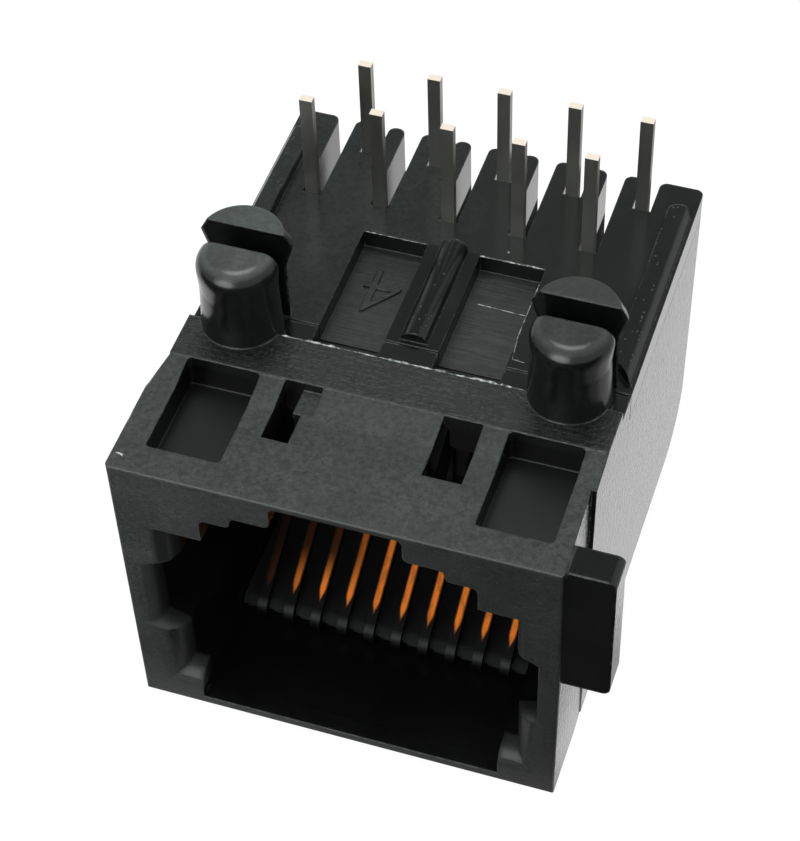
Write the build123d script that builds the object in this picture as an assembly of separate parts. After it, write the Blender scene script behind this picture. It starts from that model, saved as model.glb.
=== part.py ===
from build123d import *
from math import cos, radians, sin, sqrt
import os

# Side-entry modular jack, 10 positions and 10 contacts, in millimetres. It lies on its cover
# with the board side up: +Z is the way the solder tails point, the mouth opens to -Y, and the
# side ear is on +X. The origin is the middle of the cover's outer face.

# Outer body
floor_lip = 1.7                 # cover face to the foot of the plug's guide ribs
rear_margin = 1.43              # rear row of tails back to the rear face
right_wall = 0.87
left_wall = 0.77
left_flare = 0.33               # how far the left wall stands out at the mouth
right_step = 0.18               # how far the mouth's right side is set in where it meets the body
right_flare = 0.12              # how much it stands out again at the mouth
side_draft = 0.15
rear_edge_radius = 2.4
rear_corner_round = 0.28
mouth_edge_round = 0.12
right_step_back = 3.6           # mouth face to the step in the right wall
flare_back = 3.6                # mouth face to where the left wall starts to draw in
flare_length = 1.4

# Top of the body, as drops below the board plane and distances from the peg line
deck_drop = 0.4
mouth_drop = 0.3
band_step = 0.08
band_front = 2.15
band_rear = 0.35
ramp_end = 3.4

# Locating pegs: the housing's half in front, the insert's half behind it, a slot between them
peg_line_back = 7.15            # mouth face to the line through the pegs
peg_spacing = 11.43
peg_radius = 1.42
post_height = 3.17
post_rear = 0.2                 # peg line back to the flat of the housing's half
post_waist = 0.08
post_waist_height = 1.8
post_swell = 0.05
post_swell_height = 2.5
post_top_round = 0.55
peg_slot = 0.72
hook_offset = 0.5               # peg line back to the axis of the insert's half
hook_height = 3.47
hook_barb = 0.26
hook_barb_drop = 0.52
hook_neck_drop = 1.4

# Contacts
contact_count = 10
board_pitch = 1.27
mouth_pitch = 1.02
row_from_pegs = 6.98
row_gap = 2.54
tail_heights = (3.93, 3.7)      # front row, rear row
strip_width = 0.46
spring_width = 0.36
strip_thickness = 0.3
heel_radius = 0.5
fold_radius = 0.45
spring_angle = 28.0
spring_length = 7.1
crown_radius = 1.6
crown_angle = 20.0
tip_reach = 0.7
fan_start = 0.5                 # front row of tails forward to where the strips start to close up
fan_end = 0.43                  # insert's front back to where they lie at the mouth's pitch

# Mouth and plug room
cover_wall = 0.4
plug_side_margin = 1.36         # outermost spring to the side of the plug's room
plug_top_drop = 3.1
plug_bottom_drop = 11.0
spring_bay_inset = 0.5
lead_in = 0.85
upper_rib_drop = 5.1
lower_rib_drop = 8.9
side_bay_depth = 0.8
rib_slope = 0.3
upper_flares = (0.32, 1.1)      # right, left
bay_flares = (0.08, 0.65)
flare_lip = 0.41                # what the lower lead-in leaves of the right wall
flare_foot_lip = 0.81
foot_fall = 0.7                 # how far the lead-in rounds off the foot of the mouth
flare_depths = (0, 0.12, 0.4, 1)    # sections of the rounded lead-in, as shares of its depth
latch_half_width = 2.25
latch_drop = 0.55
latch_end = 0.75                # band's rear edge forward to the end of the latch channel
step_widths = (1.4, 1.1)
step_falls = (1.0, 0.5)
step_round = 0.22

# Corner pockets and latch shoulder slots in the top of the mouth
pocket_wall = 0.56
pocket_width = 2.58
pocket_front_back = 1.15        # mouth face to the pockets
pocket_floor_drop = 1.31
pocket_round = 0.12
shoulder_lap = 0.17             # how far a slot reaches in over the latch channel
shoulder_width = 1.34
shoulder_front_back = 2.6
left_lip = 0.4                  # how much narrower the left slot's front half is
left_ledge_width = 0.72
left_ledge_length = 1.05
left_ledge_drop = 0.4

# Insert
insert_gap = 0.05
carrier_front = 2.78            # front row of tails forward to the insert's front
tongue_length = 7.07            # insert's front forward to the centre of the springs' fold
comb_margin = 0.305             # outermost comb slot to the insert's side below its plate
plate_front = 0.75              # peg line back to the front edge of the insert's plate
plate_thickness = 1.15
tray_inner = 0.95
tray_width = 2.35
tray_rear = 5.55
tray_depth = 0.7
comb_slot = 0.66
comb_end_round = 0.28
groove_gap = 0.05
tip_gap = 0.19
tip_headroom = 0.65

# Standoff ribs that rest on the board
centre_rib_radius = 0.5
centre_rib_front = 1.0
centre_rib_rear = 5.72
side_rib_inset = 0.02           # left outer side to the foot of the rib's slope
side_rib_width = 0.86
side_rib_slope = 0.2
side_rib_round = 0.1
side_rib_front = 1.15
side_rib_slant = 0.85
side_rib_rear_margin = 1.3

# Ear on the right wall
ear_reach = 1.63
ear_thickness = 1.15
ear_front_back = 0.2
ear_top_drop = 0.36
ear_height = 5.9
ear_round = 0.3

# Moulding marks sunk in the cover: where the ejector pins and the gate stood
ejector_radius = 0.9
ejector_depth = 0.06
ejector_inset = 2.1             # outer sides and ends of the cover to the marks' centres
gate_radius = 0.7
gate_depth = 0.14
gate_nib_radius = 0.28
gate_nib_height = 0.08
gate_forward = 3.2              # middle of the cover forward to the gate

# Places that follow from the sizes above
board_half_span = (contact_count - 1) / 2 * board_pitch
mouth_half_span = (contact_count - 1) / 2 * mouth_pitch
plug_half_width = mouth_half_span + plug_side_margin
spring_bay_half_width = plug_half_width - spring_bay_inset
side_bay_half_width = plug_half_width + side_bay_depth
room_half_width = board_half_span + comb_slot / 2 + comb_margin
right_half_width = max(side_bay_half_width, room_half_width) + right_wall
left_half_width = max(side_bay_half_width, room_half_width) + left_wall
step_half_width = right_half_width - right_step
mouth_right_half_width = step_half_width + right_flare
mouth_left_half_width = left_half_width + left_flare
shoulder_inner = latch_half_width - shoulder_lap
pocket_outer = step_half_width - pocket_wall
side_rib_outer = left_half_width - side_rib_inset
board_z = plug_bottom_drop + floor_lip      # cover face to the plane that seats on the board
body_depth = peg_line_back + row_from_pegs + row_gap + rear_margin
mouth_y = -body_depth / 2
rear_y = body_depth / 2
peg_y = mouth_y + peg_line_back
deck_z = board_z - deck_drop
mouth_z = board_z - mouth_drop
front_row_y = peg_y + row_from_pegs
rear_row_y = front_row_y + row_gap
stop_y = front_row_y - carrier_front
plate_y = peg_y + plate_front
plate_floor_z = deck_z - plate_thickness
step_corners = (latch_half_width + step_widths[0], latch_half_width + sum(step_widths))
step_drops = (latch_drop + step_falls[0], latch_drop + sum(step_falls))
fold_y = stop_y - tongue_length
fold_z = cover_wall + strip_thickness / 2 + fold_radius
nose_radius = fold_radius - strip_thickness / 2 - groove_gap / 2
over = 1.0                      # how far a cutter runs past the face that it opens


def box(x0, x1, y0, y1, z0, z1):
    """A block between two corners."""
    return Pos((x0 + x1) / 2, (y0 + y1) / 2, (z0 + z1) / 2) * Box(x1 - x0, y1 - y0, z1 - z0)


def across(points, half_width):
    """A side outline of (y, z) points, extruded to both sides of the middle."""
    face = Plane.YZ * make_face(Polyline(*points, close=True))
    return extrude(face, half_width, both=True)


def both_sides(solid):
    """A solid and its mirror image in the middle plane."""
    return solid + mirror(solid, Plane.YZ)


def across_mouth(right_points, left_points, y):
    """A face across the mouth from the (x, drop) points of its right half and of its left half."""
    right = [(x, board_z - drop) for x, drop in right_points]
    left = [(-x, board_z - drop) for x, drop in reversed(left_points)]
    face = make_face(Polyline(*right, *left, close=True))
    return Plane((0, y, 0), x_dir=(1, 0, 0), z_dir=(0, -1, 0)) * face


def mouth_outline(half_points, y, round_corners=0.0):
    """A face across the mouth from (x, drop) points of its right half."""
    face = across_mouth(half_points, half_points, y)
    if round_corners:
        face = fillet(face.vertices(), round_corners)
    return face


def envelope():
    """The outside of the body: its side outline, its plan and its drafted section together."""
    side = across(
        [
            (mouth_y, 0),
            (rear_y, 0),
            (rear_y, deck_z),
            (peg_y - band_rear, deck_z),
            (peg_y - band_rear, board_z),
            (peg_y - band_front, board_z),
            (peg_y - band_front, board_z - band_step),
            (peg_y - ramp_end, mouth_z),
            (mouth_y, mouth_z),
        ],
        mouth_left_half_width + over,
    )
    cover_edges = side.edges().filter_by(Axis.X).group_by(Axis.Z)[0]
    side = fillet(cover_edges.sort_by(Axis.Y)[-1:], rear_edge_radius)
    plan_points = [
        (mouth_right_half_width, mouth_y),
        (step_half_width, mouth_y + right_step_back),
        (right_half_width, mouth_y + right_step_back),
        (right_half_width, rear_y),
        (-left_half_width, rear_y),
        (-left_half_width, mouth_y + flare_back + flare_length),
        (-mouth_left_half_width, mouth_y + flare_back),
        (-mouth_left_half_width, mouth_y),
    ]
    plan_face = make_face(Polyline(*plan_points, close=True))
    plan_face = fillet(plan_face.vertices().group_by(Axis.Y)[-1], rear_corner_round)
    plan = extrude(plan_face, board_z + over)
    section_points = [
        (-mouth_left_half_width + side_draft, 0),
        (right_half_width - side_draft, 0),
        (right_half_width, board_z),
        (-mouth_left_half_width, board_z),
    ]
    section = Plane.XZ * make_face(Polyline(*section_points, close=True))
    body = side & plan & extrude(section, body_depth, both=True)
    return fillet(body.edges().group_by(Axis.Y)[0], mouth_edge_round)


def plug_room():
    """What is cored out of the body from the mouth: guide ribs, side bays, spring bay and latch steps."""
    inside = [
        (plug_half_width, plug_top_drop),
        (plug_half_width, upper_rib_drop),
        (side_bay_half_width, upper_rib_drop + rib_slope),
        (side_bay_half_width, lower_rib_drop - rib_slope),
        (plug_half_width, lower_rib_drop),
        (plug_half_width, plug_bottom_drop),
        (spring_bay_half_width, plug_bottom_drop),
        (spring_bay_half_width, board_z - cover_wall),
    ]
    lower_flare = mouth_right_half_width - flare_lip - plug_half_width
    foot_flare = mouth_right_half_width - flare_foot_lip - plug_half_width
    falls = (0.0, 0.0, 0.0, 0.0, 0.0, foot_fall, foot_fall, 0.0)
    sides = []
    for upper, bay in zip(upper_flares, bay_flares):
        sides.append((upper, upper, bay, bay, lower_flare, foot_flare, 0.0, 0.0))
    sections = []
    for depth in flare_depths:
        share = 1 - sqrt(1 - (1 - depth) ** 2)
        right, left = [
            [(x + share * flare, drop + share * fall) for (x, drop), flare, fall in zip(inside, side, falls)]
            for side in sides
        ]
        sections.append(across_mouth(right, left, mouth_y + depth * lead_in))
    neck_y = mouth_y + lead_in
    flare_room = loft(sections, ruled=True)
    room = extrude(mouth_outline(inside, neck_y), -(stop_y - neck_y))
    steps = [
        (latch_half_width, latch_drop),
        (latch_half_width, step_drops[0]),
        (step_corners[0], step_drops[0]),
        (step_corners[0], step_drops[1]),
        (step_corners[1], step_drops[1]),
        (step_corners[1], plug_top_drop + over),
    ]
    corner = min(step_round, 0.45 * min(step_widths + step_falls))
    latch_end_y = peg_y - band_rear - latch_end
    latch_room = extrude(mouth_outline(steps, mouth_y, corner), -(latch_end_y - mouth_y))
    latch_room += extrude(mouth_outline(steps[2:], mouth_y, corner), -(plate_y - mouth_y))
    rear_steps = [
        (step_corners[1], plate_thickness + deck_drop),
        (step_corners[1], plug_top_drop + over),
    ]
    rear_room = extrude(mouth_outline(rear_steps, plate_y), -(stop_y - plate_y))
    return flare_room + room + latch_room + rear_room


def turned(outline, x, y):
    """A post turned from its (radius, z) outline, standing at a place in plan."""
    return Pos(x, y, 0) * revolve(Plane.XZ * make_face(Polyline(*outline, close=True)), Axis.Z)


def flat_cut(x, y_from, y_to):
    """What is cut off a peg's half behind or in front of its flat side."""
    reach = 2 * peg_radius
    return box(x - reach, x + reach, y_from, y_to, deck_z - 2 * over, board_z + hook_height + post_height)


def peg_post(x):
    """The housing's half of a locating peg: slightly waisted, flat behind, with a well rounded top."""
    waist = peg_radius - post_waist
    outline = [
        (0, deck_z - over),
        (peg_radius, deck_z - over),
        (peg_radius, board_z),
        (waist, board_z + post_waist_height),
        (waist + post_swell, board_z + post_swell_height),
        (waist + post_swell, board_z + post_height),
        (0, board_z + post_height),
    ]
    post = turned(outline, x, peg_y)
    top_edge = post.edges().filter_by(GeomType.CIRCLE).sort_by(Axis.Z)[-1:]
    post = fillet(top_edge, min(post_top_round, 0.9 * (post_height - post_swell_height)))
    flat_y = peg_y + post_rear
    return post - flat_cut(x, flat_y, flat_y + 2 * peg_radius)


def peg_hook(x):
    """The insert's half of a locating peg: a flat front side, a sharp flat top and a barb under it."""
    outline = [
        (0, deck_z - over / 2),
        (peg_radius, deck_z - over / 2),
        (peg_radius, board_z + hook_height - hook_neck_drop),
        (peg_radius + hook_barb, board_z + hook_height - hook_barb_drop),
        (peg_radius, board_z + hook_height),
        (0, board_z + hook_height),
    ]
    hook = turned(outline, x, peg_y + hook_offset)
    flat_y = peg_y + post_rear + peg_slot
    return hook - flat_cut(x, flat_y - 3 * peg_radius, flat_y)


def side_rib():
    """The right standoff rib: its outer side slopes, its rear end is round, its front is cut askew."""
    inner = side_rib_outer - side_rib_width
    profile_points = [
        (inner, deck_z - over / 2),
        (inner, board_z),
        (side_rib_outer - side_rib_slope, board_z),
        (side_rib_outer, deck_z),
        (side_rib_outer, deck_z - over / 2),
    ]
    profile = make_face(Polyline(*profile_points, close=True))
    profile = fillet(profile.vertices().group_by(Axis.Y)[-1], side_rib_round)
    bar = extrude(Plane.XZ * profile, body_depth, both=True)
    radius = side_rib_width / 2
    end_y = rear_y - side_rib_rear_margin - radius
    front_y = peg_y + side_rib_front
    plan_points = [
        (inner, front_y + side_rib_slant),
        (side_rib_outer, front_y),
        (side_rib_outer, end_y),
        (inner, end_y),
    ]
    plan = make_face(Polyline(*plan_points, close=True))
    plan += Pos(inner + radius, end_y) * Circle(radius)
    return bar & extrude(plan, board_z + over)


def ear():
    """The tab that stands out of the right wall beside the mouth."""
    root = (mouth_right_half_width + side_bay_half_width) / 2
    top = board_z - ear_top_drop
    front = mouth_y + ear_front_back
    block = box(
        root, mouth_right_half_width + ear_reach, front, front + ear_thickness, top - ear_height, top
    )
    outer = block.edges().filter_by(Axis.Y).group_by(Axis.X)[-1]
    return fillet(outer, ear_round)


def corner_pocket():
    """A cored recess in the top of the mouth, beside the side wall."""
    pocket = box(
        pocket_outer - pocket_width, pocket_outer, mouth_y + pocket_front_back, peg_y - band_front,
        board_z - pocket_floor_drop, board_z + over,
    )
    return fillet(pocket.edges().filter_by(Axis.Z), pocket_round)


def shoulder_slot():
    """The right slot through the top of the mouth. The plug's latch catches behind its front end."""
    return box(
        shoulder_inner, shoulder_inner + shoulder_width, mouth_y + shoulder_front_back, peg_y - band_front,
        board_z - step_drops[0] - step_round, board_z + over,
    )


def left_slot():
    """The left slot: the mirrored right one with a lip along its front and a ledge at its inner rear."""
    rear = peg_y - band_front
    ledge_front = rear - left_ledge_length
    inner = -shoulder_inner
    lip = box(inner - left_lip, inner, mouth_y, ledge_front, 0, board_z + 2 * over)
    ledge = box(inner - left_ledge_width, inner, ledge_front, rear, 0, board_z - left_ledge_drop)
    return mirror(shoulder_slot(), Plane.YZ) - lip - ledge


def plate(grow, front):
    """The insert's top plate over both side walls, from a given front edge, or the room for it."""
    return box(
        -left_half_width - grow, right_half_width + grow, front, rear_y + over, plate_floor_z, deck_z + grow
    )


def tray(y_front):
    """A shallow recess in the deck behind the band, from a given front end."""
    return box(
        tray_inner, tray_inner + tray_width, y_front, peg_y + tray_rear, deck_z - tray_depth, deck_z + over
    )


def disc(x, y, radius, z, height):
    """An upright round slug that starts at a height over the cover's outer face."""
    return Pos(x, y, z) * Cylinder(radius, height, align=(Align.CENTER, Align.CENTER, Align.MIN))


def cover_marks():
    """The shallow rounds that the ejector pins and the gate leave in the cover's outer face."""
    marks = disc(0, -gate_forward, gate_radius, -over, over + gate_depth)
    marks -= disc(0, -gate_forward, gate_nib_radius, gate_depth - gate_nib_height, gate_nib_height)
    for y in (mouth_y + ejector_inset, rear_y - rear_edge_radius - ejector_inset):
        mark = disc(mouth_right_half_width - ejector_inset, y, ejector_radius, -over, over + ejector_depth)
        marks += both_sides(mark)
    return marks


def make_housing():
    """The outer moulding."""
    body = envelope()
    body -= plug_room()
    body -= box(-room_half_width, room_half_width, stop_y, rear_y + over, cover_wall, board_z + over)
    body -= plate(over, plate_y)
    body -= both_sides(corner_pocket() + tray(peg_y - band_rear))
    body -= shoulder_slot() + left_slot() + cover_marks()
    return body + ear() + peg_post(-peg_spacing / 2) + peg_post(peg_spacing / 2)


def board_x(index):
    """Where a contact's tail stands across the board."""
    return index * board_pitch - board_half_span


def mouth_x(index):
    """Where a contact's spring lies across the mouth."""
    return index * mouth_pitch - mouth_half_span


def row_y(index):
    """The tails stand in two rows, the even ones in front."""
    return front_row_y if index % 2 == 0 else rear_row_y


def plan_ribbon(index, margin, height, y_front, y_rear):
    """The strip's run in plan, with a margin each side: straight under the tails, closing up and
    narrowing, then straight to the mouth."""
    start = front_row_y - fan_start
    end = stop_y + fan_end
    middle = [
        (board_x(index), y_rear, strip_width / 2 + margin),
        (board_x(index), start, strip_width / 2 + margin),
        (mouth_x(index), end, spring_width / 2 + margin),
        (mouth_x(index), y_front, spring_width / 2 + margin),
    ]
    right = [(x + half, y) for x, y, half in middle]
    left = [(x - half, y) for x, y, half in reversed(middle)]
    return extrude(make_face(Polyline(*right, *left, close=True)), height)


def comb_slot_plan(x, y):
    """One slot of the comb in plan: it rounds off the rear ends of the fins beside it."""
    half = comb_slot / 2
    radius = min(comb_end_round, 0.48 * (board_pitch - comb_slot))
    slot = Pos(x, (y + rear_y + over) / 2) * Rectangle(comb_slot, rear_y + over - y)
    for side in (-1, 1):
        block = Pos(x + side * half, rear_y) * Rectangle(2 * radius, 2 * radius)
        slot += block - Pos(x + side * (half + radius), rear_y - radius) * Circle(radius)
    return slot


def contact_path(index):
    """The middle of one strip in side view: tail, leg, heel, floor run, fold, spring, crown and tip."""
    y = row_y(index)
    floor_z = cover_wall + strip_thickness / 2
    leg = Line((y, board_z + tail_heights[index % 2]), (y, floor_z + heel_radius))
    heel = JernArc(leg @ 1, (0, -1), heel_radius, -90)
    run = Line(heel @ 1, (fold_y, floor_z))
    fold = JernArc(run @ 1, (-1, 0), fold_radius, -(180 - spring_angle))
    slope = (cos(radians(spring_angle)), sin(radians(spring_angle)))
    spring = Line(fold @ 1, fold @ 1 + Vector(*slope) * spring_length)
    crown = JernArc(spring @ 1, slope, crown_radius, -crown_angle)
    tip = Line(crown @ 1, crown @ 1 + (crown % 1) * tip_reach)
    return leg + heel + run + fold + spring + crown + tip


def make_contact(index):
    """One contact, bent from flat strip."""
    strip = trace(contact_path(index), strip_thickness)
    solid = extrude(Plane.YZ * strip, body_depth, both=True)
    return solid & plan_ribbon(index, 0, board_z + 2 * max(tail_heights), mouth_y, rear_y)


def contact_room(index):
    """What the insert leaves open for one contact: comb slot, heel relief, floor groove and tip slot."""
    y = row_y(index) - strip_thickness / 2
    x = board_x(index)
    half = comb_slot / 2
    groove_top = cover_wall + strip_thickness
    slot = extrude(comb_slot_plan(x, y), board_z + over)
    relief = across(
        [(y, groove_top), (y, groove_top + heel_radius), (y - heel_radius, groove_top)], half
    )
    groove = plan_ribbon(index, groove_gap, groove_top, mouth_y, y + half)
    half_slot = spring_width / 2 + groove_gap
    middle = mouth_x(index)
    tip = contact_path(index) @ 1
    tip_slot = box(
        middle - half_slot, middle + half_slot, fold_y, tip.X + tip_gap,
        fold_z + nose_radius, tip.Y + strip_thickness / 2 + tip_headroom,
    )
    return slot + Pos(x, 0, 0) * relief + groove + tip_slot


def make_insert():
    """The rear moulding that carries the contacts."""
    half = room_half_width - insert_gap
    carrier = box(-half, half, stop_y, rear_y + over, cover_wall, plate_floor_z)
    tongue_half = spring_bay_half_width - insert_gap
    tongue = box(-tongue_half, tongue_half, fold_y, stop_y, cover_wall, fold_z + nose_radius)
    nose = Plane((-tongue_half, fold_y, fold_z), z_dir=(1, 0, 0)) * Cylinder(
        nose_radius, 2 * tongue_half, align=(Align.CENTER, Align.CENTER, Align.MIN)
    )
    body = carrier + plate(0, plate_y + insert_gap) + tongue + nose
    body = (body & envelope()) - both_sides(tray(plate_y - over))
    rib_start = Plane((0, peg_y + centre_rib_front, board_z - centre_rib_radius), z_dir=(0, 1, 0))
    body += rib_start * Cylinder(
        centre_rib_radius, centre_rib_rear - centre_rib_front, align=(Align.CENTER, Align.CENTER, Align.MIN)
    )
    body += both_sides(side_rib()) + peg_hook(-peg_spacing / 2) + peg_hook(peg_spacing / 2)
    for index in range(contact_count):
        body -= contact_room(index)
    return body


os.makedirs("parts", exist_ok=True)
export_step(make_housing(), "parts/housing.step")
export_step(make_insert(), "parts/contact_insert.step")
for index in range(contact_count):
    export_step(make_contact(index), f"parts/contact_{index + 1:02d}.step")
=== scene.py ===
import math
import random

import bmesh
import bpy
from mathutils import Matrix, Vector


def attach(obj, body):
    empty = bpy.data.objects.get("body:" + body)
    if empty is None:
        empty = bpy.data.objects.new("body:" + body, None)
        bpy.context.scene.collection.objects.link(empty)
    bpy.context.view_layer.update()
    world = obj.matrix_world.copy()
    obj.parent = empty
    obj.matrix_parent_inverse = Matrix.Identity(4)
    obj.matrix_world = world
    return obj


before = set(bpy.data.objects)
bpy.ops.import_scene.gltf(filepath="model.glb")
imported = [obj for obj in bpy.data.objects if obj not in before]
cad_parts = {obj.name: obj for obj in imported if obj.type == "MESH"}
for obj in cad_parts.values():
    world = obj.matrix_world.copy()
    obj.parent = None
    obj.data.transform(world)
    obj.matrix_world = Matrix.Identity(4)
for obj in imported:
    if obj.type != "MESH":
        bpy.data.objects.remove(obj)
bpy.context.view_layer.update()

# The camera stands above the mouth and to its right, as it did for the photograph, with a long
# lens held a little off level. The photograph's middle is a few pixels from its optical axis.
camera_place = Vector((0.01862, -0.05413, 0.07291))
camera_target = Vector((-0.00066, 0.00074, 0.00635))
camera_roll = math.radians(-1.766)
nearest_seen, farthest_seen = 0.001, 10.0
sensor_width = 36.0
focal_pixels = 2460.5
axis_pixel = (413.5, 418.8)
photo_size = (800, 841)
camera_data = bpy.data.cameras.new("photo_camera")
camera_data.sensor_fit = "HORIZONTAL"
camera_data.sensor_width = sensor_width
camera_data.lens = focal_pixels / photo_size[0] * sensor_width
camera_data.shift_x = (photo_size[0] / 2 - axis_pixel[0]) / photo_size[0]
camera_data.shift_y = (axis_pixel[1] - photo_size[1] / 2) / photo_size[0]
camera_data.clip_start = nearest_seen
camera_data.clip_end = farthest_seen
camera = bpy.data.objects.new("photo_camera", camera_data)
bpy.context.collection.objects.link(camera)
gaze = (camera_target - camera_place).to_track_quat("-Z", "Y").to_matrix()
gaze = gaze @ Matrix.Rotation(camera_roll, 3, "Z")
camera.matrix_world = Matrix.Translation(camera_place) @ gaze.to_4x4()
bpy.context.scene.camera = camera
bpy.context.scene.view_settings.view_transform = "Standard"


# The floor is a wide white sweep. The camera sees it almost burnt out, with a trace of the jack's
# shadow. Gloss on the jack shows it bright behind and beside the jack, and dim in front of it, far
# to its right and beside the ear.
class Nodes:
    """The nodes of one material, or of the room, written a line at a time."""

    def __init__(self, owner):
        owner.use_nodes = True
        self.nodes = owner.node_tree.nodes
        self.links = owner.node_tree.links

    def feed(self, socket, value):
        """Links another node's output to the socket, or writes a plain value in it."""
        if isinstance(value, bpy.types.NodeSocket):
            self.links.new(value, socket)
        else:
            socket.default_value = value

    def add(self, kind, inputs=None, **settings):
        """A new node, with its settings written and its inputs fed, by name or by place."""
        node = self.nodes.new(kind)
        for name, setting in settings.items():
            setattr(node, name, setting)
        for key, value in (inputs or {}).items():
            self.feed(node.inputs[key], value)
        return node

    def calc(self, operation, first, second=0.0):
        return self.add("ShaderNodeMath", {0: first, 1: second}, operation=operation).outputs[0]

    def product(self, *values):
        result = values[0]
        for value in values[1:]:
            result = self.calc("MULTIPLY", result, value)
        return result

    def ramp(self, value, low, high, bottom=0.0, top=1.0):
        """A smooth step, from bottom where the value is low to top where it is high."""
        sizes = {"Value": value, "From Min": low, "From Max": high, "To Min": bottom, "To Max": top}
        return self.add("ShaderNodeMapRange", sizes, interpolation_type="SMOOTHSTEP").outputs[0]

    def split(self, vector):
        return self.add("ShaderNodeSeparateXYZ", {0: vector}).outputs[:3]

    def vector(self, operation, first, second):
        node = self.add("ShaderNodeVectorMath", {0: first, 1: second}, operation=operation)
        return node.outputs["Value"] if operation == "DOT_PRODUCT" else node.outputs["Vector"]


floor_half = 0.6
floor_colour = (0.5, 0.5, 0.5, 1)
floor_seen_glow = 0.9
floor_seen_colour = (0.17, 0.17, 0.17, 1)
floor_gloss_dim, floor_gloss_bright = 0.06, 1.12
floor_gloss_far = 0.45
floor_gloss_ear = 0.5
front_fade = (-0.0115, -0.0065)
far_fade = (0.0105, 0.015)
ear_fade = (-0.003, 0.001)
beside_fade = (0.0078, 0.0086)
floor_mesh = bpy.data.meshes.new("floor")
floor_corners = [(-floor_half, -floor_half, 0), (floor_half, -floor_half, 0),
                 (floor_half, floor_half, 0), (-floor_half, floor_half, 0)]
floor_mesh.from_pydata(floor_corners, [], [(0, 1, 2, 3)])
floor = bpy.data.objects.new("floor", floor_mesh)
bpy.context.collection.objects.link(floor)
floor_paint = bpy.data.materials.new("white_sweep")
sweep = Nodes(floor_paint)
sweep.nodes.clear()
ray = sweep.add("ShaderNodeLightPath").outputs
plain = sweep.add("ShaderNodeBsdfDiffuse", {"Color": floor_colour}).outputs[0]
seen_paint = sweep.add("ShaderNodeBsdfDiffuse", {"Color": floor_seen_colour}).outputs[0]
seen_glow = sweep.add("ShaderNodeEmission", {"Strength": floor_seen_glow}).outputs[0]
seen = sweep.add("ShaderNodeAddShader", {0: seen_paint, 1: seen_glow}).outputs[0]
floor_x, floor_y, _ = sweep.split(sweep.add("ShaderNodeTexCoord").outputs["Object"])
before_jack = sweep.ramp(floor_y, *front_fade, floor_gloss_dim, floor_gloss_bright)
far_right = sweep.ramp(floor_x, *far_fade, 1.0, floor_gloss_far)
past_ear = sweep.ramp(floor_y, *ear_fade, floor_gloss_ear, 1.0)
beside_ear = sweep.ramp(floor_x, *beside_fade, 1.0, past_ear)
shine = sweep.product(before_jack, sweep.product(beside_ear, far_right))
mirrored = sweep.add("ShaderNodeEmission", {"Strength": shine}).outputs[0]
unseen = sweep.add("ShaderNodeMixShader", {0: ray["Is Glossy Ray"], 1: plain, 2: mirrored}).outputs[0]
shown = sweep.add("ShaderNodeMixShader", {0: ray["Is Camera Ray"], 1: unseen, 2: seen}).outputs[0]
sweep.add("ShaderNodeOutputMaterial", {"Surface": shown})
floor_mesh.materials.append(floor_paint)

# The room is plain white to the camera and lights the jack evenly. Gloss sees dim air in it with soft
# boxes: one overhead, two in front of the mouth and a pale wall low behind, under a darker place.
room_strength = 1.0
room_colour = (1, 1, 1, 1)
room_air = 0.7
room_gloss_tint = (0.94, 1.0, 0.97, 1)
room_boxes = [
    # towards, cosines of the box's edge and of its full part, strength
    ((-0.1, 0.28, 0.955), 0.958, 0.985, 3.6),
    ((-0.218, 0.65, 0.72), 0.82, 0.94, -0.42),
    ((-0.25, -0.93, 0.27), 0.88, 0.97, 3.6),
    ((-0.2, -0.75, 0.63), 0.93, 0.98, 1.5),
    ((0.0, 0.97, 0.17), 0.8, 0.95, 0.5),
]
room = bpy.data.worlds.new("white_room")
air = Nodes(room)
air.nodes.clear()
ray = air.add("ShaderNodeLightPath").outputs
direction = air.add("ShaderNodeTexCoord").outputs["Generated"]
gloss_strength = room_air
for towards, edge_cosine, full_cosine, box_strength in room_boxes:
    along = air.vector("DOT_PRODUCT", direction, Vector(towards).normalized())
    box = air.ramp(along, edge_cosine, full_cosine, 0.0, box_strength)
    gloss_strength = air.calc("ADD", box, gloss_strength)
gloss = air.add("ShaderNodeBackground", {"Color": room_gloss_tint, "Strength": gloss_strength}).outputs[0]
even = air.add("ShaderNodeBackground", {"Color": room_colour, "Strength": room_strength}).outputs[0]
shown = air.add("ShaderNodeMixShader", {0: ray["Is Glossy Ray"], 1: even, 2: gloss}).outputs[0]
air.add("ShaderNodeOutputWorld", {"Surface": shown})
bpy.context.scene.world = room


# The housing is one moulding of black glass-filled plastic. Its mouth block, above and in front, is
# matt and dusty from the spark-eroded mould; the side walls, the ear and the pegs' posts are
# smoother and blacker; edges that have been handled are a little paler. Shade is painted darker
# inside the mouth, down its lead-ins and in the pockets; light is painted onto the mouth's front face
# and onto the posts' tops.
millimetre = 0.001


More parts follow.
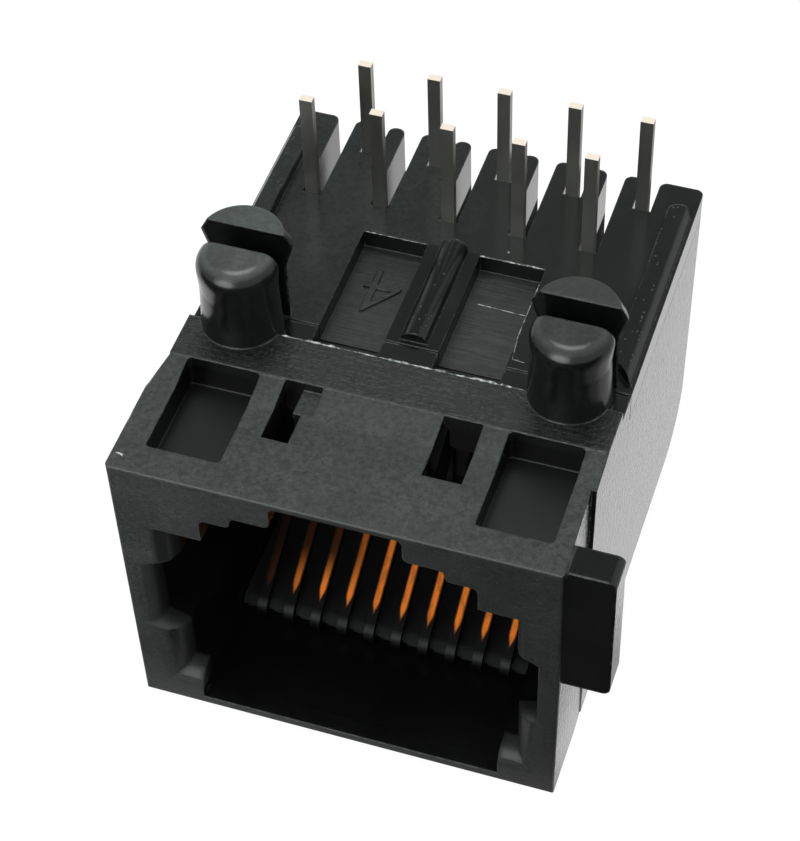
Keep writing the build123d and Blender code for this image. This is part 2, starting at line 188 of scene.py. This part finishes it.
class Finish(Nodes):
    """A material of the jack, by where a point lies, in millimetres, and how its face is turned."""

    def __init__(self, name):
        self.material = bpy.data.materials.new(name)
        super().__init__(self.material)
        self.shader = self.nodes["Principled BSDF"]
        place = self.add("ShaderNodeTexCoord").outputs["Object"]
        in_millimetres = (1 / millimetre,) * 3
        self.spot = self.vector("MULTIPLY", place, in_millimetres)
        self.x, self.y, self.z = self.split(self.spot)
        self.facing = self.add("ShaderNodeNewGeometry").outputs["True Normal"]
        self.nx, self.ny, self.nz = self.split(self.facing)

    def within(self, value, span, soft):
        """1 between the span's ends, which fade over soft to either side."""
        low, high = span
        rise = self.ramp(value, low - soft, low + soft)
        return self.product(rise, self.below(value, high - soft, high + soft))

    def below(self, value, low, high):
        return self.ramp(value, low, high, 1.0, 0.0)

    def beyond(self, mask):
        """What the mask leaves out."""
        return self.calc("SUBTRACT", 1.0, mask)

    def either(self, first, second):
        return self.calc("MAXIMUM", first, second)

    def mix(self, share, first, second):
        node = self.add("ShaderNodeMix", {0: share, 2: first, 3: second}, data_type="FLOAT")
        return node.outputs[0]

    def mix_colour(self, share, first, second):
        node = self.add("ShaderNodeMix", {0: share, 6: first, 7: second}, data_type="RGBA")
        return node.outputs[2]

    def noise(self, scale, detail, rough, seed, stretch=(1, 1, 1)):
        shifted = self.vector("ADD", self.spot, (seed, seed * 1.7, seed * 0.6))
        spot = self.vector("MULTIPLY", shifted, stretch)
        inputs = {"Vector": spot, "Scale": scale, "Detail": detail, "Roughness": rough}
        return self.add("ShaderNodeTexNoise", inputs).outputs["Fac"]

    def specks(self, scale, size, share, seed):
        """Dots of this size on a share of the cells, with scale cells to the millimetre."""
        spot = self.vector("ADD", self.spot, (seed, seed * 2.3, seed * 0.7))
        cells = self.add("ShaderNodeTexVoronoi", {"Vector": spot, "Scale": scale}).outputs
        chance, _, _ = self.split(cells["Color"])
        dot = self.below(cells["Distance"], size * 0.5, size)
        return self.product(dot, self.ramp(chance, 1 - share - 0.01, 1 - share))

    def edges(self, radius):
        """How near an outer edge is, and the normal that rounds it."""
        rounded = self.add("ShaderNodeBevel", {"Radius": radius}, samples=6).outputs["Normal"]
        turn = self.vector("DOT_PRODUCT", rounded, self.facing)
        return self.below(turn, 0.86, 0.985), rounded

    def bump(self, height, depth, normal):
        """The normal of a relief of this depth, in millimetres."""
        inputs = {"Strength": 1.0, "Distance": depth * millimetre, "Height": height, "Normal": normal}
        return self.add("ShaderNodeBump", inputs).outputs["Normal"]

    def surface(self, value, tint, roughness, normal):
        tinted = {channel: self.calc("MULTIPLY", value, share) for channel, share in enumerate(tint)}
        colour = self.add("ShaderNodeCombineColor", tinted).outputs[0]
        self.feed(self.shader.inputs["Base Color"], colour)
        self.feed(self.shader.inputs["Roughness"], roughness)
        self.feed(self.shader.inputs["Normal"], normal)
        return self.material


seat_z = 12.7
block_sides = (-8.2, 7.62)
block_heights = (12.2, 12.9)
band_ends = (-4.07, -2.2)
pocket_sides, pocket_ends, pocket_heights = (4.2, 6.95), (-7.95, -4.0), (11.3, 12.3)
pocket_floor_ends, pocket_floor_heights = (-8.0, -4.0), (11.3, 11.5)
lead_in_sides, lead_in_heights = (-7.3, 7.2), (0.8, 9.75)
mouth_sides, mouth_heights = (-7.0, 7.0), (0.35, 12.1)
ear_root_sides = (7.5, 7.75)
wall_black = 0.007
painted_inside_shade = 0.003
ear_black = 0.004
painted_pocket_wall_shade = 0.002
painted_pocket_floor_shade = 0.003
mouth_top_grey = 0.032
mouth_face_grey = 0.042
painted_lead_in_light = 0.03
band_grey = 0.008
painted_post_top_light = (0.085, 0.048)
worn_grey = 0.085
dust_grey = 0.3
nick_grey = 0.5
housing_tint = (0.9, 1.0, 0.95)
edge_radius, post_edge_radius, lead_in_radius = 0.0001, 0.00014, 0.0004
smooth_rough, inside_rough, lead_in_rough = 0.2, 0.3, 0.55
ear_rough, band_rough, post_rough = 0.12, 0.26, 0.16
matt_roughs = (0.42, 0.56)
housing_relief = 0.03

skin = Finish("housing_plastic")
up = skin.ramp(skin.nz, 0.6, 0.95)
front = skin.below(skin.ny, -0.95, -0.6)
side_on = skin.ramp(skin.calc("ABSOLUTE", skin.nx), 0.7, 0.9)
block_width = skin.within(skin.x, block_sides, 0.02)
lead_in = skin.product(skin.within(skin.x, lead_in_sides, 0.05), skin.within(skin.z, lead_in_heights, 0.05))
lead_in = skin.product(lead_in, skin.below(skin.y, -8.2, -8.1), skin.beyond(front))
mouth_top = skin.product(up, block_width, skin.below(skin.y, -2.3, -2.2))
mouth_top = skin.product(mouth_top, skin.within(skin.z, block_heights, 0.05))
band_top = skin.product(mouth_top, skin.within(skin.y, band_ends, 0.02))
pocket_wall = skin.within(skin.calc("ABSOLUTE", skin.x), pocket_sides, 0.03)
pocket_wall = skin.product(pocket_wall, skin.within(skin.y, pocket_ends, 0.03))
pocket_wall = skin.product(pocket_wall, skin.within(skin.z, pocket_heights, 0.05))
pocket_floor = skin.product(up, skin.within(skin.z, pocket_floor_heights, 0.05))
pocket_floor = skin.product(pocket_floor, skin.within(skin.y, pocket_floor_ends, 0.05))
mouth_face = skin.product(front, skin.below(skin.y, -9.0, -8.9), block_width)
ear = skin.product(skin.ramp(skin.x, 7.56, 7.62), skin.below(skin.y, -7.6, -7.5))
ear_root = skin.product(skin.within(skin.x, ear_root_sides, 0.02), skin.below(skin.z, 12.0, 12.2))
post_top = skin.product(up, skin.ramp(skin.z, 15.55, 15.75))
inside = skin.product(skin.within(skin.x, mouth_sides, 0.05), skin.within(skin.z, mouth_heights, 0.05))
inside = skin.product(inside, skin.ramp(skin.y, -8.98, -8.1))
outer = skin.beyond(skin.either(inside, lead_in))
wall = skin.product(side_on, skin.below(skin.z, seat_z, seat_z + 0.1))
matt = skin.either(skin.either(mouth_top, mouth_face), post_top)

above_seat = skin.ramp(skin.z, seat_z, seat_z + 0.1)
rounding = skin.mix(lead_in, skin.mix(above_seat, edge_radius, post_edge_radius), lead_in_radius)
edge, rounded = skin.edges(rounding)
blotch = skin.noise(0.55, 4, 0.6, seed=3.0)
mottle = skin.noise(5.5, 4, 0.7, seed=11.0)
grain = skin.noise(7.0, 4, 0.65, seed=7.0)
wall_grain = skin.noise(5.0, 1, 0.5, seed=13.0, stretch=(1, 1.3, 0.8))
scrape = skin.noise(1.0, 5, 0.7, seed=5.0, stretch=(0.5, 18.0, 4.0))
chipped = skin.ramp(skin.noise(3.0, 4, 0.7, seed=19.0), 0.45, 0.62)
worn = skin.product(edge, chipped, outer, skin.beyond(ear_root))
dust = skin.product(skin.specks(1.3, 0.09, 0.06, seed=2.0), mouth_top)
nick = skin.product(edge, skin.specks(0.8, 0.3, 0.14, seed=9.0), skin.ramp(skin.z, 11.9, 12.2), outer)

# Painted light and shade on the mouth's front face, over its matt grey: lighter on the left, darker towards
# its foot.
painted_face_light = skin.mix(skin.ramp(skin.x, -8.0, 6.5), 1.1, 0.5)
painted_foot_shade = skin.ramp(skin.z, 0.0, 9.0, 0.5, 1.0)
value = skin.mix(mouth_top, wall_black, mouth_top_grey)
value = skin.mix(band_top, value, skin.ramp(scrape, 0.36, 0.66, band_grey * 0.4, band_grey * 2.8))
# Painted shade: the inside of the mouth is darkened as the shade that falls in it.
value = skin.mix(inside, value, painted_inside_shade)
# Painted light and shade: the lead-ins are pale at the mouth's edge and fade into the painted shade inside.
value = skin.mix(lead_in, value, skin.ramp(skin.y, -9.0, -8.3, painted_lead_in_light, painted_inside_shade))
value = skin.mix(mouth_face, value, skin.product(painted_face_light, painted_foot_shade, mouth_face_grey))
# Painted shade: the pockets' walls and floors are darkened as the shade inside them.
value = skin.mix(pocket_wall, value, painted_pocket_wall_shade)
value = skin.mix(pocket_floor, value, painted_pocket_floor_shade)
value = skin.mix(ear, value, ear_black)
# Painted light: the posts' tops are painted pale as lit from above, the left one more than the right.
value = skin.mix(post_top, value, skin.mix(skin.ramp(skin.x, -3.0, 3.0), *painted_post_top_light))
value = skin.product(value, skin.ramp(blotch, 0.35, 0.65, 0.84, 1.16))
smooth_mottle = skin.ramp(mottle, 0.3, 0.7, 0.85, 1.17)
matt_mottle = skin.ramp(mottle, 0.35, 0.65, 0.5, 1.7)
value = skin.product(value, skin.mix(mouth_top, smooth_mottle, matt_mottle))
value = skin.mix(worn, value, worn_grey)
value = skin.mix(dust, value, dust_grey)
value = skin.mix(nick, value, nick_grey)

roughness = skin.mix(matt, smooth_rough, skin.ramp(mottle, 0.35, 0.65, *matt_roughs))
for part_of_housing, rough in ((post_top, post_rough), (band_top, band_rough), (inside, inside_rough),
                               (lead_in, lead_in_rough), (ear, ear_rough)):
    roughness = skin.mix(part_of_housing, roughness, rough)
relief = skin.mix(wall, skin.product(grain, 0.12), skin.product(wall_grain, 0.8))
relief = skin.mix(matt, relief, grain)
relief = skin.mix(post_top, relief, skin.product(grain, 0.15))
normal = skin.bump(skin.product(relief, outer), housing_relief, rounded)
housing_plastic = skin.surface(value, housing_tint, roughness, normal)
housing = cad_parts["housing"]
for place in housing.material_slots:
    place.material = housing_plastic

# The insert is moulded in the same plastic with a smoother mould: satin on the deck between the
# comb's slots, brushed in the two shallow trays, and speckled on the ribs that rest on the board.
# Light is painted onto the deck's and the hooks' upward faces, more on the left, and shade into the
# tongue deep in the mouth.
tray_level_ends = (-2.3, 3.7)
tray_heights = (11.5, 11.7)
strip_sides, strip_heights = (-0.98, 0.98), (12.2, 12.8)
painted_deck_light = (0.023, 0.008)
tray_greys = (0.016, 0.024)
painted_hook_top_light = (0.06, 0.026)
steep_black = 0.005
strip_black = 0.002
right_side_black = 0.005
painted_tongue_shade = 0.002
rib_speckle_grey = 0.07
insert_worn_grey = 0.07
insert_dust_grey = 0.4
insert_tint = (0.84, 1.0, 0.97)
insert_edge_radius, hook_edge_radius = 0.00008, 0.00016
satin_rough, hook_rough, tray_rough, tongue_rough = 0.2, 0.5, 0.36, 0.95
insert_relief = 0.02

skin = Finish("insert_plastic")
up = skin.ramp(skin.nz, 0.6, 0.95)
level = skin.within(skin.y, tray_level_ends, 0.03)
trays = skin.product(up, skin.within(skin.z, tray_heights, 0.04), level)
hook_top = skin.product(up, skin.ramp(skin.z, 15.95, 16.05))
strip = skin.product(skin.within(skin.x, strip_sides, 0.02), level, skin.within(skin.z, strip_heights, 0.05))
right_side = skin.product(skin.ramp(skin.x, 6.3, 6.6), skin.ramp(skin.z, 12.2, 12.3))
tongue = skin.below(skin.z, 10.4, 10.6)
outer = skin.beyond(tongue)
rib_top = skin.product(skin.ramp(skin.z, 12.4, 12.5), skin.below(skin.z, 12.9, 13.0), up)

above_seat = skin.ramp(skin.z, 12.75, 12.85)
edge, rounded = skin.edges(skin.mix(above_seat, insert_edge_radius, hook_edge_radius))
blotch = skin.noise(0.5, 4, 0.6, seed=23.0)
mottle = skin.noise(5.0, 5, 0.65, seed=31.0)
grain = skin.noise(8.0, 3, 0.6, seed=37.0)
brushed = skin.noise(1.0, 5, 0.75, seed=41.0, stretch=(0.5, 14.0, 2.0))
chipped = skin.ramp(skin.noise(3.0, 4, 0.7, seed=43.0), 0.48, 0.64)
worn = skin.product(edge, chipped, outer)
speckle = skin.product(skin.specks(7.0, 0.36, 0.16, seed=53.0), rib_top)
dust = skin.product(skin.specks(0.9, 0.06, 0.05, seed=47.0), up, outer)

# Painted light: the deck's upward faces are painted lighter than its steep ones, more on the left.
value = skin.mix(skin.ramp(skin.x, -5.5, 6.0), *painted_deck_light)
value = skin.mix(up, steep_black, value)
value = skin.mix(strip, value, strip_black)
value = skin.mix(right_side, value, right_side_black)
value = skin.mix(trays, value, skin.mix(skin.ramp(skin.x, -0.1, 0.1), *tray_greys))
# Painted light: the hooks' tops are painted pale as lit from above, the left one more than the right.
value = skin.mix(hook_top, value, skin.mix(skin.ramp(skin.x, -3.0, 3.0), *painted_hook_top_light))
# Painted shade: the tongue deep in the mouth is painted blacker than the rest of the insert.
value = skin.mix(tongue, value, painted_tongue_shade)
value = skin.product(value, skin.ramp(blotch, 0.35, 0.65, 0.85, 1.15))
value = skin.product(value, skin.ramp(mottle, 0.35, 0.65, 0.8, 1.25))
value = skin.mix(trays, value, skin.product(value, skin.ramp(brushed, 0.36, 0.64, 0.5, 1.7)))
value = skin.mix(worn, value, insert_worn_grey)
value = skin.mix(speckle, value, rib_speckle_grey)
value = skin.mix(dust, value, insert_dust_grey)

roughness = skin.mix(hook_top, satin_rough, hook_rough)
roughness = skin.mix(trays, roughness, tray_rough)
roughness = skin.mix(tongue, roughness, tongue_rough)
relief = skin.calc("ADD", skin.product(grain, 0.12), skin.product(brushed, trays))
normal = skin.bump(skin.product(relief, outer), insert_relief, rounded)
insert_plastic = skin.surface(value, insert_tint, roughness, normal)
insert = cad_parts["contact_insert"]
for place in insert.material_slots:
    place.material = insert_plastic

# The ten contacts are bent from flat spring strip. Gold is plated only where the plug touches them,
# in a patch that tapers to the front. The gold carries painted light and shade: a painted highlight
# down the middle of each patch with painted shade at its sides, painted shade on the left contacts,
# most towards the rear, and on the right ones darker near the fold with streaks of painted highlight.
# The rest is nickel, painted dark as shade in the mouth and dull on the tails but for the sheared tips.
contact_count = 10
spring_pitch = 1.02
patch_start, patch_full = -4.9, -4.25
patch_back = (-1.0, -0.2)
# The patch is drawn as narrow as the painted highlight down each strip's middle.
patch_half_width = 0.15
gold = (1.0, 0.27, 0.036, 1)
painted_shade_gold = (0.055, 0.018, 0.007, 1)
painted_shade_nickel = (0.012, 0.012, 0.012, 1)
nickel = (0.27, 0.265, 0.25, 1)
sheared_metal = (1.0, 0.9, 0.76, 1)
strip_roughs = (0.38, 0.44)
plated_rough = 0.6

metal = Finish("contact_metal")
across = metal.calc("ADD", metal.calc("DIVIDE", metal.x, spring_pitch), contact_count)  # never below 0
across = metal.product(metal.calc("SUBTRACT", metal.calc("FRACT", across), 0.5), spring_pitch)
taper = metal.ramp(metal.y, patch_start, patch_full, 0.0, patch_half_width)
spare = metal.calc("SUBTRACT", taper, metal.calc("ABSOLUTE", across))
gold_patch_and_left_shade = metal.product(metal.ramp(spare, 0.0, 0.04), metal.below(metal.y, *patch_back))
# Painted shade: the leftmost contacts lose most of their gold to the dark nickel colour.
gold_patch_and_left_shade = metal.product(gold_patch_and_left_shade, metal.ramp(metal.x, -5.6, -3.2, 0.1, 1.0))
# Painted shade on the left contacts: their gold darkens towards the rear, less so on those further right.
painted_toe_light = metal.ramp(metal.x, -4.9, -2.8)
painted_left_shade = metal.ramp(metal.y, -4.3, -3.0, painted_toe_light, 0.0)
# Painted light and shade on the right contacts: darker near the fold, with streaks of painted highlight.
highlight_streaks = metal.noise(2.2, 3, 0.7, seed=67.0, stretch=(2.5, 0.7, 0.7))
painted_right_light = metal.ramp(metal.y, -4.9, -4.2, 0.5, 1.0)
painted_right_light = metal.product(painted_right_light, metal.ramp(highlight_streaks, 0.38, 0.55, 0.7, 1.0))
# Painted light and shade across the gold: lit gold down each patch's middle, painted shade gold at its
# sides.
painted_gold_light = metal.mix(metal.ramp(metal.x, -2.8, 0.0), painted_left_shade, painted_right_light)
painted_gold_light = metal.product(metal.ramp(spare, 0.0, 0.09), painted_gold_light)
tip = metal.product(metal.ramp(metal.nz, 0.7, 0.9), metal.ramp(metal.z, 15.5, 16.0))
# Painted shade: the nickel low in the mouth is painted nearly black.
tone = metal.mix_colour(metal.ramp(metal.z, 9.0, 10.0), painted_shade_nickel, nickel)
tone = metal.mix_colour(gold_patch_and_left_shade, tone, metal.mix_colour(painted_gold_light, painted_shade_gold, gold))
tone = metal.mix_colour(tip, tone, sheared_metal)
haze = metal.noise(4.0, 3, 0.6, seed=61.0, stretch=(1, 1, 0.4))
metal.feed(metal.shader.inputs["Base Color"], tone)
metal.feed(metal.shader.inputs["Metallic"], metal.ramp(tip, 0.0, 1.0, 1.0, 0.2))
strip_rough = metal.ramp(haze, 0.35, 0.65, *strip_roughs)
metal.feed(metal.shader.inputs["Roughness"], metal.mix(gold_patch_and_left_shade, strip_rough, plated_rough))
for number in range(1, contact_count + 1):
    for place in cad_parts[f"contact_{number:02d}"].material_slots:
        place.material = metal.material

# Flash: where the mould's halves met, a thin ragged film of plastic stands up along the rear edge of
# the band and beside the right tray. It is painted paler than the moulding, as torn and stretched
# plastic, and along the band's rear edge its paleness is also a painted highlight on the burr's edge.
# Nicks in the front edge and scratches have the same torn, pale rims.
flash_step = 0.07
flash_wander = 0.35
flash_least = 0.06
flash_lean = 0.4
flash_thinnest = 0.5
flash_rough = 0.45
flash_lines = [
    # points along the foot, tallest stand, half thickness, share that is torn away
    ([(-4.2, -2.255, 12.69), (4.35, -2.255, 12.69)], 0.09, 0.035, 0.25),
    ([(3.3, 2.9, 12.29), (3.29, 0.4, 12.29), (3.4, -0.7, 12.29), (3.9, -0.73, 12.29)], 0.045, 0.022, 0.45),
    ([(-3.3, 3.66, 12.29), (-0.95, 3.66, 12.29)], 0.035, 0.03, 0.5),
    ([(0.95, 3.66, 12.29), (3.3, 3.66, 12.29)], 0.05, 0.035, 0.4),
    ([(1.35, 2.05, 11.6), (3.15, 1.99, 11.6)], 0.012, 0.02, 0.15),
    ([(-7.68, -8.42, 12.39), (-7.32, -8.5, 12.39)], 0.04, 0.075, 0.0),
    ([(-5.75, -8.93, 12.37), (-5.6, -8.92, 12.37)], 0.03, 0.035, 0.0),
    ([(-3.95, -8.95, 12.37), (-3.75, -8.92, 12.37)], 0.03, 0.04, 0.0),
    ([(-0.4, -8.9, 12.37), (-0.2, -8.91, 12.37)], 0.03, 0.035, 0.0),
    ([(-6.58, -8.9, 12.37), (-6.36, -8.87, 12.37)], 0.03, 0.04, 0.0),
    ([(-2.25, -8.98, 12.36), (-2.0, -8.96, 12.36)], 0.03, 0.035, 0.0),
    ([(-3.42, -6.5, 12.39), (-3.3, -6.42, 12.39)], 0.02, 0.03, 0.0),
]
film = Finish("flash_plastic")
# Pale torn plastic, which along the band's rear edge also stands for a painted highlight on the burr.
torn_pale_and_highlight = film.ramp(film.noise(6.0, 3, 0.6, seed=71.0), 0.38, 0.62, 0.1, 0.85)
film_normal = film.add("ShaderNodeNewGeometry").outputs["Normal"]
flash_plastic = film.surface(torn_pale_and_highlight, housing_tint, flash_rough, film_normal)
chance = random.Random(8)
flash_mesh = bpy.data.meshes.new("parting_flash")
flash_build = bmesh.new()
for points, stand, half_thickness, torn in flash_lines:
    points = [Vector(point) for point in points]
    sections = []
    height = 0.5
    for start, end in zip(points, points[1:]):
        count = max(2, round((end - start).length / flash_step))
        side = (end - start).cross(Vector((0, 0, 1))).normalized()
        for step in range(count):
            height = min(1.0, max(0.0, height + chance.uniform(-flash_wander, flash_wander)))
            rise = stand * (max(0.0, height - torn) / (1 - torn) + flash_least)
            spot = start.lerp(end, step / count)
            lean = side * chance.uniform(-flash_lean, flash_lean) * half_thickness
            thick = half_thickness * chance.uniform(flash_thinnest, 1.0)
            sections.append([spot - side * thick, spot + side * thick, spot + lean + Vector((0, 0, rise))])
    rings = [[flash_build.verts.new(corner * millimetre) for corner in section] for section in sections]
    for ring, after in zip(rings, rings[1:]):
        for low in range(3):
            high = (low + 1) % 3
            flash_build.faces.new((ring[low], ring[high], after[high], after[low]))
    flash_build.faces.new(rings[0][::-1])
    flash_build.faces.new(rings[-1])
bmesh.ops.recalc_face_normals(flash_build, faces=flash_build.faces)
flash_build.to_mesh(flash_mesh)
flash_build.free()
flash_mesh.materials.append(flash_plastic)
flash = bpy.data.objects.new("parting_flash", flash_mesh)
bpy.context.collection.objects.link(flash)
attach(flash, "root")

# The left tray carries the number of the mould's cavity, in fine raised strokes, upside down to
# the mouth. It is moulded in one with the insert.
digit_height = 0.0021
capital_share = 0.7
digit_place = (-0.00205, 0.0017, 0.01162)
digit_curve = bpy.data.curves.new("cavity_number", "FONT")
digit_curve.body = "4"
digit_curve.size = digit_height / capital_share
digit_curve.align_x = "CENTER"
digit_curve.align_y = "CENTER"
digit_curve.extrude = 0.00001
digit_curve.bevel_depth = 0.00003
digit_curve.bevel_resolution = 2
digit_curve.offset = -0.00005
digit_shape = bpy.data.objects.new("cavity_number_shape", digit_curve)
bpy.context.collection.objects.link(digit_shape)
bpy.context.view_layer.update()
solid_shape = digit_shape.evaluated_get(bpy.context.evaluated_depsgraph_get())
digit_mesh = bpy.data.meshes.new_from_object(solid_shape)
digit_mesh.transform(Matrix.Translation(digit_place) @ Matrix.Rotation(math.pi, 4, "Z"))
digit_mesh.materials.clear()
digit_mesh.materials.append(insert_plastic)
bpy.data.objects.remove(digit_shape)
digit = bpy.data.objects.new("cavity_number", digit_mesh)
bpy.context.collection.objects.link(digit)
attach(digit, "root")
